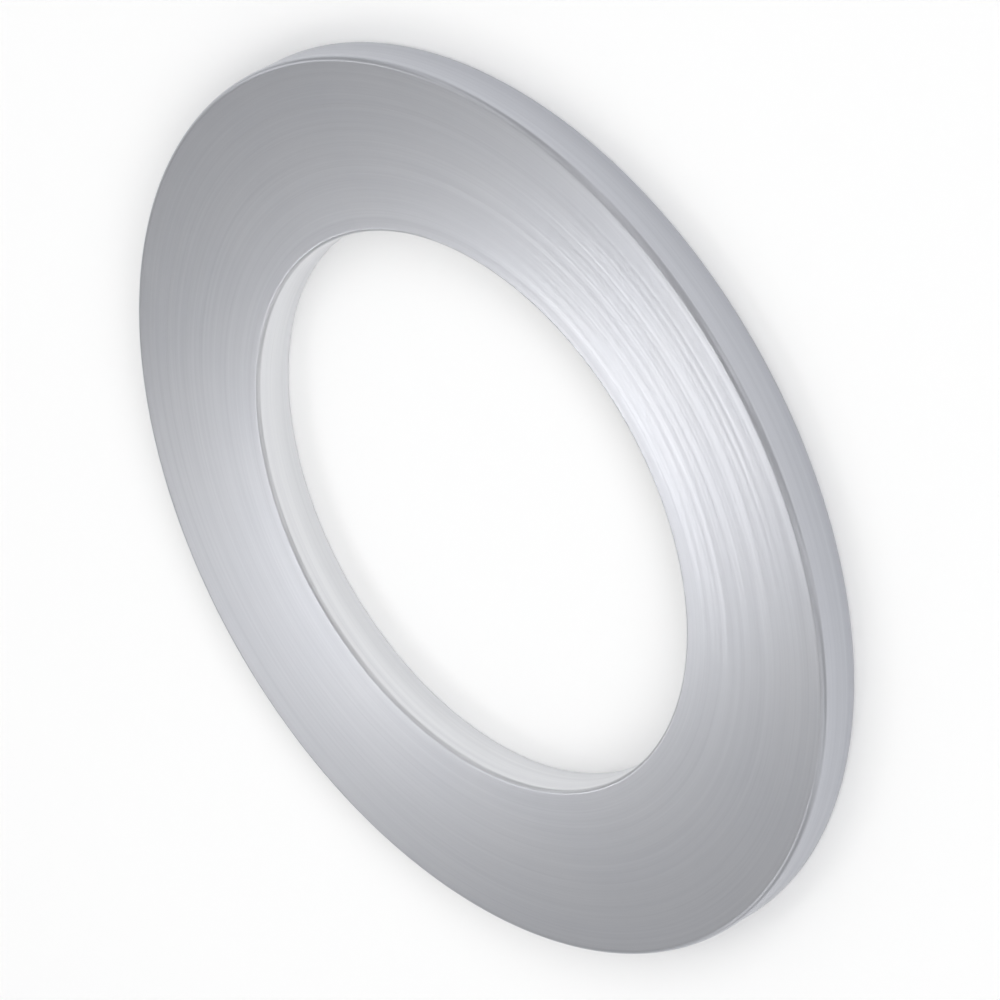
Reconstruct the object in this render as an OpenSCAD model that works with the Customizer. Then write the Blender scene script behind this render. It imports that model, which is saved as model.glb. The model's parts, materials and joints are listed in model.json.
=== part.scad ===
// Clutch shim
// A flat steel ring that slides over a clutch shaft and takes up the end play beside the hub.
// It is one piece, cut from strip steel, ground on both faces and tumbled, so no edge is sharp.
// It lies on its lower face: the origin is the middle of that face and the bore runs along Z.

/* [Ring] */
// Outside diameter
outer_d = 32.5; // [28:0.5:40]
// Thickness from ground face to ground face
thickness = 1.5; // [1:0.1:3]

/* [Shaft fit] */
// Diameter of the shaft that the shim slides over
shaft_d = 20; // [12:0.5:24]
// Gap between the shaft and the bore, all round
shaft_clearance = 0.1; // [0.05:0.05:0.25]

/* [Tumbled edges] */
// Radius of the two edges of the rim
rim_edge_r = 0.2; // [0.05:0.05:0.4]
// Radius of the two edges of the bore, which the tumbling stones reach less
bore_edge_r = 0.15; // [0.05:0.05:0.4]

/* [Hidden] */
// Facets of a full circle in the preview
$fn = 180;
rim_r = outer_d / 2;
bore_r = shaft_d / 2 + shaft_clearance;

// Two rounded corners of the section, one at each face, on a wall at radius wall_r.
// The metal lies outwards of the wall where side is 1, and inwards of it where side is -1.
module rounded_corners(wall_r, edge_r, side) {
    for (z = [edge_r, thickness - edge_r])
        translate([wall_r + side * edge_r, z])
            circle(r = edge_r);
}

// Section of the ring between the bore wall and the rim wall.
// The first strip runs from face to face, and the other two back the walls between the corners.
module section() {
    face_inner_r = bore_r + bore_edge_r;
    face_outer_r = rim_r - rim_edge_r;
    translate([face_inner_r, 0])
        square([face_outer_r - face_inner_r, thickness]);
    translate([bore_r, bore_edge_r])
        square([bore_edge_r, thickness - 2 * bore_edge_r]);
    translate([face_outer_r, rim_edge_r])
        square([rim_edge_r, thickness - 2 * rim_edge_r]);
    rounded_corners(bore_r, bore_edge_r, 1);
    rounded_corners(rim_r, rim_edge_r, -1);
}

// The whole shim, turned from its section
module shim() {
    color("silver")
        rotate_extrude()
            section();
}

shim();
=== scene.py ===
import json
import math

import bpy
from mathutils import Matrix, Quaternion, Vector


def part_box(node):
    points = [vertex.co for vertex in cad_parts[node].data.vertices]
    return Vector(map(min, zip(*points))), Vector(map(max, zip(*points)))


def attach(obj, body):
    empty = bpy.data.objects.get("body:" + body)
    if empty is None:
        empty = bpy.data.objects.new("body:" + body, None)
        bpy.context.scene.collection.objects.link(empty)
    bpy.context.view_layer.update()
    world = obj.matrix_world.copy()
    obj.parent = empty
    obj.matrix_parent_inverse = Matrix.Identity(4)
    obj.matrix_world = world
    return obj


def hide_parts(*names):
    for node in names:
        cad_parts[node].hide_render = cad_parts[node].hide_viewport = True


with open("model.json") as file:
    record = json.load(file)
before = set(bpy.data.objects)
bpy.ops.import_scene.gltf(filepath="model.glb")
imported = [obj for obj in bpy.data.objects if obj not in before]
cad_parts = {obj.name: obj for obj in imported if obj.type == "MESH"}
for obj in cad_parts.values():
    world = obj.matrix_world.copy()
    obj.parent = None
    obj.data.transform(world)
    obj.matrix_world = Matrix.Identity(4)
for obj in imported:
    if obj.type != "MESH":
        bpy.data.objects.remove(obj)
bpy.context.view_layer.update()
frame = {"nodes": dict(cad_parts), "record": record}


# The shim
# One ring of hardened steel, cut from strip, with its rim and bore turned smooth and both faces ground.
# It was tumbled with stones at the end, so every edge is a small even radius. Nothing is fixed to it.

MM = 0.001
low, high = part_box("shim")
bore_mount = next(m for m in frame["record"]["mounts"] if m["name"] == "shaft_bore")
outer_radius = (high.x - low.x) / 2
bore_radius = bore_mount["dims"]["r_mm"] * MM
thickness = high.z - low.z

# The edge radii are what the flat of the upper face leaves free at the rim and at the bore.
flat_tolerance = 0.001 * MM
face_radii = [math.hypot(v.co.x, v.co.y) for v in frame["nodes"]["shim"].data.vertices
              if high.z - v.co.z < flat_tolerance]
rim_edge_radius = outer_radius - max(face_radii)
bore_edge_radius = min(face_radii) - bore_radius


def linear(hex_colour):
    """Turns an sRGB hex colour such as C8CACE into linear red, green, blue and alpha."""
    shares = [int(hex_colour[i:i + 2], 16) / 255 for i in (0, 2, 4)]
    return [s / 12.92 if s <= 0.04045 else ((s + 0.055) / 1.055) ** 2.4 for s in shares] + [1.0]


def add_node(tree, kind, inputs=None, **settings):
    """Adds a node with its settings, and links or sets each input, which is named or numbered."""
    node = tree.nodes.new(kind)
    for name, value in settings.items():
        setattr(node, name, value)
    for name, value in (inputs or {}).items():
        if isinstance(value, bpy.types.NodeSocket):
            tree.links.new(value, node.inputs[name])
        else:
            node.inputs[name].default_value = value
    return node


# Ground steel: a bright cool grey metal with a satin gloss. Grinding leaves fine circles on the faces,
# and the tool leaves fine lines round the rougher rim. The rim is coloured a shade darker than the faces,
# a painted shade, and the bore much lighter, a painted highlight.
# The finest lines lie about 0.02 mm apart, too fine to show, so the pattern starts at lines 0.16 mm apart
# and each of its three finer layers halves that. A line keeps its depth for about the length of its run.
lay_pitch = 0.16 * MM
lay_layers = 3
lay_layer_share = 0.75
lay_run = 22 * MM
lay_depth = 0.0028 * MM
# The lay's height, from 0 to 1, at the bottom of a groove and at the crest beside it.
groove_level = 0.3
crest_level = 0.7
# Faint patches, which vary the tint of the faces.
stain_size = 4 * MM
stain_layers = 3
stain_layer_share = 0.55
face_colours = "C9CBD1", "D0D1D5"
# The rim's colour below is a painted shade, a little darker than the faces, and the bore's is a painted
# highlight, much lighter than the steel.
rim_painted_shade_colour = "C6C8CE"
bore_painted_highlight_colour = "EAEBED"
groove_shade = "F4F4F5"
face_roughness = 0.28
wall_roughness = 0.34
groove_roughness = 0.08
# A Mix node gives its sockets the same names for every kind of value, so they are picked by number.
COLOUR_A, COLOUR_B, COLOUR_RESULT = 6, 7, 2
NUMBER_A, NUMBER_B, NUMBER_RESULT = 2, 3, 0

steel = bpy.data.materials.new("satin_ground_steel")
steel.use_nodes = True
tree = steel.node_tree
tree.nodes.clear()
place = add_node(tree, "ShaderNodeTexCoord").outputs["Object"]
place_xyz = add_node(tree, "ShaderNodeSeparateXYZ", {0: place})
flat_place = add_node(tree, "ShaderNodeVectorMath", {0: place, 1: (1, 1, 0)}, operation="MULTIPLY")
from_axis = add_node(tree, "ShaderNodeVectorMath", {0: flat_place.outputs[0]}, operation="LENGTH")

across_face = add_node(tree, "ShaderNodeMath", {
    0: from_axis.outputs["Value"], 1: 1 / lay_pitch}, operation="MULTIPLY")
across_wall = add_node(tree, "ShaderNodeMath", {
    0: place_xyz.outputs["Z"], 1: 1 / lay_pitch}, operation="MULTIPLY")
along = add_node(tree, "ShaderNodeVectorMath", {
    0: flat_place.outputs[0], "Scale": 1 / lay_run}, operation="SCALE")
along_xyz = add_node(tree, "ShaderNodeSeparateXYZ", {0: along.outputs[0]})
lay_place = add_node(tree, "ShaderNodeCombineXYZ", {
    "X": across_face.outputs[0], "Y": along_xyz.outputs["X"], "Z": along_xyz.outputs["Y"]})
lay = add_node(tree, "ShaderNodeTexNoise", {
    "Vector": lay_place.outputs[0], "W": across_wall.outputs[0], "Scale": 1,
    "Detail": lay_layers, "Roughness": lay_layer_share}, noise_dimensions="4D")
groove_share = add_node(tree, "ShaderNodeMapRange", {
    "Value": lay.outputs["Fac"], "From Min": crest_level, "From Max": groove_level})

rim_share = add_node(tree, "ShaderNodeMapRange", {
    "Value": from_axis.outputs["Value"],
    "From Min": outer_radius - rim_edge_radius, "From Max": outer_radius})
bore_share = add_node(tree, "ShaderNodeMapRange", {
    "Value": from_axis.outputs["Value"],
    "From Min": bore_radius + bore_edge_radius, "From Max": bore_radius})
wall_share = add_node(tree, "ShaderNodeMath", {
    0: rim_share.outputs[0], 1: bore_share.outputs[0]}, operation="MAXIMUM")

stain = add_node(tree, "ShaderNodeTexNoise", {
    "Vector": place, "Scale": 1 / stain_size,
    "Detail": stain_layers, "Roughness": stain_layer_share})
face_tint = add_node(tree, "ShaderNodeMix", {
    "Factor": stain.outputs["Fac"],
    COLOUR_A: linear(face_colours[0]), COLOUR_B: linear(face_colours[1])}, data_type="RGBA")
# The rim takes its painted shade and the bore its painted highlight over the faces' tint.
rim_painted_shade_tint = add_node(tree, "ShaderNodeMix", {
    "Factor": rim_share.outputs[0],
    COLOUR_A: face_tint.outputs[COLOUR_RESULT], COLOUR_B: linear(rim_painted_shade_colour)}, data_type="RGBA")
bore_painted_highlight_tint = add_node(tree, "ShaderNodeMix", {
    "Factor": bore_share.outputs[0],
    COLOUR_A: rim_painted_shade_tint.outputs[COLOUR_RESULT], COLOUR_B: linear(bore_painted_highlight_colour)}, data_type="RGBA")
tint = add_node(tree, "ShaderNodeMix", {
    "Factor": groove_share.outputs[0],
    COLOUR_A: bore_painted_highlight_tint.outputs[COLOUR_RESULT], COLOUR_B: linear(groove_shade)},
    data_type="RGBA", blend_type="MULTIPLY")

crest_roughness = add_node(tree, "ShaderNodeMix", {
    "Factor": wall_share.outputs[0], NUMBER_A: face_roughness, NUMBER_B: wall_roughness},
    data_type="FLOAT")
roughness = add_node(tree, "ShaderNodeMath", {
    0: groove_share.outputs[0], 1: groove_roughness, 2: crest_roughness.outputs[NUMBER_RESULT]},
    operation="MULTIPLY_ADD")
grooves = add_node(tree, "ShaderNodeBump", {
    "Height": lay.outputs["Fac"], "Strength": 1, "Distance": lay_depth})
surface = add_node(tree, "ShaderNodeBsdfPrincipled", {
    "Base Color": tint.outputs[COLOUR_RESULT], "Metallic": 1, "Roughness": roughness.outputs[0],
    "Normal": grooves.outputs[0]})
add_node(tree, "ShaderNodeOutputMaterial", {"Surface": surface.outputs[0]})

# The ring's form: a section with its four corners rounded, swept round the axis.
ring_segments = 360
edge_segments = 8
ring_tree = bpy.data.node_groups.new("turned_ring", "GeometryNodeTree")
ring_sizes = {
    "Outer radius": ("NodeSocketFloat", outer_radius),
    "Bore radius": ("NodeSocketFloat", bore_radius),
    "Thickness": ("NodeSocketFloat", thickness),
    "Rim edge radius": ("NodeSocketFloat", rim_edge_radius),
    "Bore edge radius": ("NodeSocketFloat", bore_edge_radius),
    "Segments round the ring": ("NodeSocketInt", ring_segments),
    "Segments of an edge": ("NodeSocketInt", edge_segments),
    "Steel": ("NodeSocketMaterial", steel),
}
for name, (kind, value) in ring_sizes.items():
    ring_tree.interface.new_socket(name, in_out="INPUT", socket_type=kind)
ring_tree.interface.new_socket("Ring", in_out="OUTPUT", socket_type="NodeSocketGeometry")
size = add_node(ring_tree, "NodeGroupInput").outputs

section_width = add_node(ring_tree, "ShaderNodeMath", {
    0: size["Outer radius"], 1: size["Bore radius"]}, operation="SUBTRACT")
blank_section = add_node(ring_tree, "GeometryNodeCurvePrimitiveQuadrilateral", {
    "Width": section_width.outputs[0], "Height": size["Thickness"]}, mode="RECTANGLE")
section_place = add_node(ring_tree, "ShaderNodeSeparateXYZ", {
    0: add_node(ring_tree, "GeometryNodeInputPosition").outputs[0]})
is_rim = add_node(ring_tree, "FunctionNodeCompare", {
    "A": section_place.outputs["X"], "B": 0.0}, operation="GREATER_THAN")
edge_radius = add_node(ring_tree, "GeometryNodeSwitch", {
    "Switch": is_rim.outputs[0], "False": size["Bore edge radius"], "True": size["Rim edge radius"]},
    input_type="FLOAT")
section = add_node(ring_tree, "GeometryNodeFilletCurve", {
    "Curve": blank_section.outputs[0], "Count": size["Segments of an edge"],
    "Radius": edge_radius.outputs[0]}, mode="POLY")

twice_middle = add_node(ring_tree, "ShaderNodeMath", {
    0: size["Outer radius"], 1: size["Bore radius"]}, operation="ADD")
middle_radius = add_node(ring_tree, "ShaderNodeMath", {
    0: twice_middle.outputs[0], 1: 0.5}, operation="MULTIPLY")
circle = add_node(ring_tree, "GeometryNodeCurvePrimitiveCircle", {
    "Resolution": size["Segments round the ring"], "Radius": middle_radius.outputs[0]})
swept = add_node(ring_tree, "GeometryNodeCurveToMesh", {
    "Curve": circle.outputs["Curve"], "Profile Curve": section.outputs[0]})
half_thickness = add_node(ring_tree, "ShaderNodeMath", {
    0: size["Thickness"], 1: 0.5}, operation="MULTIPLY")
lift = add_node(ring_tree, "ShaderNodeCombineXYZ", {"Z": half_thickness.outputs[0]})
lying = add_node(ring_tree, "GeometryNodeTransform", {
    "Geometry": swept.outputs[0], "Translation": lift.outputs[0]})
smooth = add_node(ring_tree, "GeometryNodeSetShadeSmooth", {"Geometry": lying.outputs[0]})
whole = add_node(ring_tree, "GeometryNodeRealizeInstances", {"Geometry": smooth.outputs[0]})
finished = add_node(ring_tree, "GeometryNodeSetMaterial", {
    "Geometry": whole.outputs[0], "Material": size["Steel"]})
add_node(ring_tree, "NodeGroupOutput", {"Ring": finished.outputs[0]})

scene = bpy.context.scene
shim = bpy.data.objects.new("shim_ring", bpy.data.meshes.new("shim_ring"))
scene.collection.objects.link(shim)
turning = shim.modifiers.new("turning", "NODES")
turning.node_group = ring_tree
for item in ring_tree.interface.items_tree:
    if item.in_out == "INPUT":
        turning[item.identifier] = ring_sizes[item.name][1]
# The flat faces stay flat to the eye, because each corner's normal follows the largest face there.
largest_face_only = 100
flat_faces = shim.modifiers.new("flat_faces", "WEIGHTED_NORMAL")
flat_faces.weight = largest_face_only
depsgraph = bpy.context.evaluated_depsgraph_get()
shim.data = bpy.data.meshes.new_from_object(
    shim.evaluated_get(depsgraph), preserve_all_data_layers=True, depsgraph=depsgraph)
shim.modifiers.clear()
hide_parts("shim")
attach(shim, "root")


# The floor
# A wide sheet of matt white paper that the shim lies on. It is lit as any paper is, so it keeps the
# shim's soft shadow, and a little white of its own lifts it to white to the eye and in the steel.

paper_colour = "FAFAFA"
paper_lift = 0.045
floor_half_width = 1500 * MM

paper = bpy.data.materials.new("white_paper")
paper.use_nodes = True
tree = paper.node_tree
tree.nodes.clear()
ray = add_node(tree, "ShaderNodeLightPath").outputs
seen = add_node(tree, "ShaderNodeMath", {
    0: ray["Is Camera Ray"], 1: ray["Is Glossy Ray"]}, operation="MAXIMUM")
seen_or_through = add_node(tree, "ShaderNodeMath", {
    0: seen.outputs[0], 1: ray["Is Transmission Ray"]}, operation="MAXIMUM")
lift_strength = add_node(tree, "ShaderNodeMath", {
    0: seen_or_through.outputs[0], 1: paper_lift}, operation="MULTIPLY")
matt = add_node(tree, "ShaderNodeBsdfDiffuse", {"Color": linear(paper_colour)})
white = add_node(tree, "ShaderNodeEmission", {
    "Color": (1, 1, 1, 1), "Strength": lift_strength.outputs[0]})
paper_sum = add_node(tree, "ShaderNodeAddShader", {0: matt.outputs[0], 1: white.outputs[0]})
add_node(tree, "ShaderNodeOutputMaterial", {"Surface": paper_sum.outputs[0]})

corner_signs = (-1, -1), (1, -1), (1, 1), (-1, 1)
floor_mesh = bpy.data.meshes.new("floor")
floor_mesh.from_pydata(
    [(x * floor_half_width, y * floor_half_width, low.z) for x, y in corner_signs], [], [(0, 1, 2, 3)])
floor_mesh.materials.append(paper)
floor = bpy.data.objects.new("floor", floor_mesh)
scene.collection.objects.link(floor)


# The light
# A plain grey room with a darker ceiling. A flat steel face shows only what it mirrors, so small soft
# boxes stand close by on every side, and two high up, to give it a sheen. Two wide ones far off light
# the floor and draw the shadow, and are screened from the steel.

wall_strength = 0.45
ceiling_share = 0.7
# The sines of the elevations at which the wall starts to darken and at which it is all ceiling.
wall_top = 0.75
ceiling_edge = 0.97

world = bpy.data.worlds.new("studio")
scene.world = world
world.use_nodes = True
tree = world.node_tree
tree.nodes.clear()
direction = add_node(tree, "ShaderNodeSeparateXYZ", {
    0: add_node(tree, "ShaderNodeTexCoord").outputs["Generated"]})
room_strength = add_node(tree, "ShaderNodeMapRange", {
    "Value": direction.outputs["Z"], "From Min": wall_top, "From Max": ceiling_edge,
    "To Min": wall_strength, "To Max": wall_strength * ceiling_share}, interpolation_type="SMOOTHSTEP")
room = add_node(tree, "ShaderNodeBackground", {
    "Color": (1, 1, 1, 1), "Strength": room_strength.outputs[0]})
add_node(tree, "ShaderNodeOutputWorld", {"Surface": room.outputs[0]})

face_centre = Vector((0, 0, high.z))


def add_softbox(name, azimuth, elevation, distance, width, height, radiance):
    """Adds a soft box that faces the shim. Azimuth 0 is the camera's side and 90 is on +X."""
    a = math.radians(azimuth)
    e = math.radians(elevation)
    towards = Vector((math.sin(a) * math.cos(e), -math.cos(a) * math.cos(e), math.sin(e)))
    lamp = bpy.data.lights.new(name, "AREA")
    lamp.shape = "RECTANGLE"
    lamp.size = width
    lamp.size_y = height
    lamp.energy = radiance * math.pi * width * height
    box = bpy.data.objects.new(name, lamp)
    box.location = face_centre + towards * distance
    box.rotation_mode = "QUATERNION"
    box.rotation_quaternion = towards.to_track_quat("Z", "Y")
    box.visible_camera = False
    scene.collection.objects.link(box)
    return box


add_softbox("sheen_softbox", azimuth=180, elevation=38.3, distance=90 * MM,
            width=16 * MM, height=12 * MM, radiance=5.8)
for azimuth in (-135, -90, -45, 0, 45, 90, 135):
    add_softbox("strip_softbox", azimuth, elevation=36, distance=110 * MM,
                width=12 * MM, height=100 * MM, radiance=1.6)
for azimuth in (-90, 90):
    add_softbox("top_softbox", azimuth, elevation=75, distance=90 * MM,
                width=25 * MM, height=25 * MM, radiance=1.4)
front_softbox = add_softbox("front_softbox", azimuth=0, elevation=28, distance=1200 * MM,
                            width=1560 * MM, height=360 * MM, radiance=5.2)
back_softbox = add_softbox("back_softbox", azimuth=180, elevation=52, distance=1200 * MM,
                           width=1560 * MM, height=360 * MM, radiance=0.9)
for floor_softbox in (front_softbox, back_softbox):
    floor_softbox.visible_glossy = False


# The camera
# It looks down on the lying shim through a long lens, from the side of the near rim.
# It is rolled so that the near rim is at the upper right, and aimed so that the ring fills the frame.

image_width_px = 1000
face_centre_px = 465.67, 514.69
px_per_outer_radius = 488.93
elevation = math.radians(35.67)
roll = math.radians(119.15)
distance_in_outer_radii = 13.5

camera_distance = distance_in_outer_radii * outer_radius
back = Vector((0, -math.cos(elevation), math.sin(elevation)))
turn = back.to_track_quat("Z", "Y") @ Quaternion((0, 0, 1), -roll)
metres_per_px = outer_radius / px_per_outer_radius
right = turn @ Vector((1, 0, 0))
up = turn @ Vector((0, 1, 0))
aim = (face_centre
       + right * (image_width_px / 2 - face_centre_px[0]) * metres_per_px
       + up * (face_centre_px[1] - image_width_px / 2) * metres_per_px)
lens = bpy.data.cameras.new("camera")
lens.lens = lens.sensor_width * camera_distance / (image_width_px * metres_per_px)
lens.clip_start = 10 * MM
camera = bpy.data.objects.new("camera", lens)
camera.location = aim + back * camera_distance
camera.rotation_mode = "QUATERNION"
camera.rotation_quaternion = turn
scene.collection.objects.link(camera)
scene.camera = camera
scene.view_settings.view_transform = "Standard"
